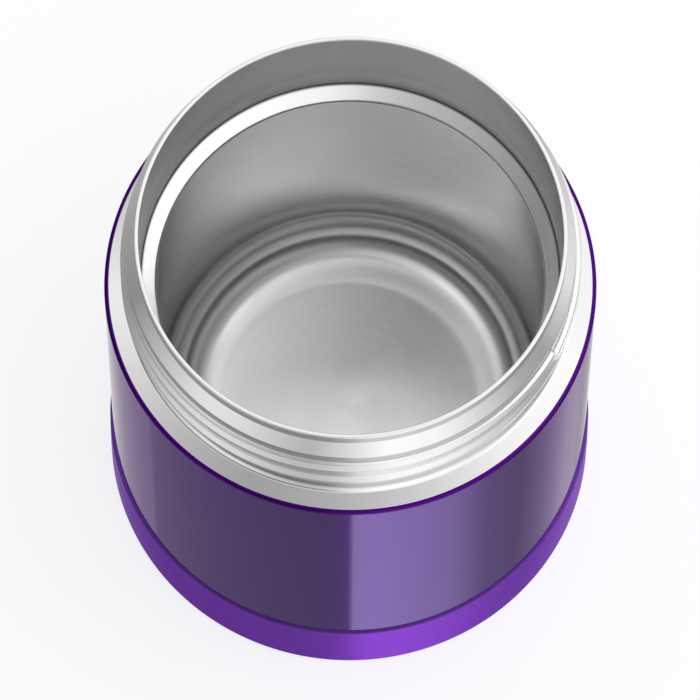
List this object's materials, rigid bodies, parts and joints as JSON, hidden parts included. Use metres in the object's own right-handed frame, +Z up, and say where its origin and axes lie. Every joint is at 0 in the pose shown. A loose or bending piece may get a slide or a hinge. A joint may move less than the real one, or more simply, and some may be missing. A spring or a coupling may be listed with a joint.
{
  "type": "insulated food jar",
  "caption": "Wide-mouth double-walled vacuum food jar, open: steel liner with a stopper ledge, screw neck, lacquered barrel and a moulded base cup.",
  "frame": {"origin": "centre of the foot, on the surface that the jar stands on", "axes": "+Z up along the jar's axis, -Y towards the front; the jar is round, so X and Y are free choices"},
  "size_m": [0.0952, 0.0952, 0.108],
  "materials": {
    "liner_steel": "drawn stainless steel, satin with faint rings",
    "neck_steel": "spun stainless steel, fine lathe lines",
    "rim_steel": "polished weld bead",
    "barrel_paint": "gloss metallic lacquer over steel",
    "cap_steel": "plain pressed steel",
    "seal_steel": "plain punched disc",
    "braze": "dull braze fillet",
    "shield_foil": "bright thin foil",
    "getter": "pressed sintered pellet",
    "clip_steel": "thin pressed steel",
    "cup_plastic": "moulded, satin gloss, solid colour",
    "glue": "cured silicone sealant"
  },
  "bodies": {
    "root": {"inner_liner": "liner_steel", "neck_collar": "neck_steel", "rim_weld": "rim_steel", "body_shell": "barrel_paint", "end_cap": "cap_steel", "seal_disc": "seal_steel", "seal_braze": "braze", "foil_wrap": "shield_foil", "foil_floor": "shield_foil", "getter_pellet": "getter", "getter_clip": "clip_steel", "base_cup": "cup_plastic", "base_glue": "glue"}
  },
  "joints": []
}
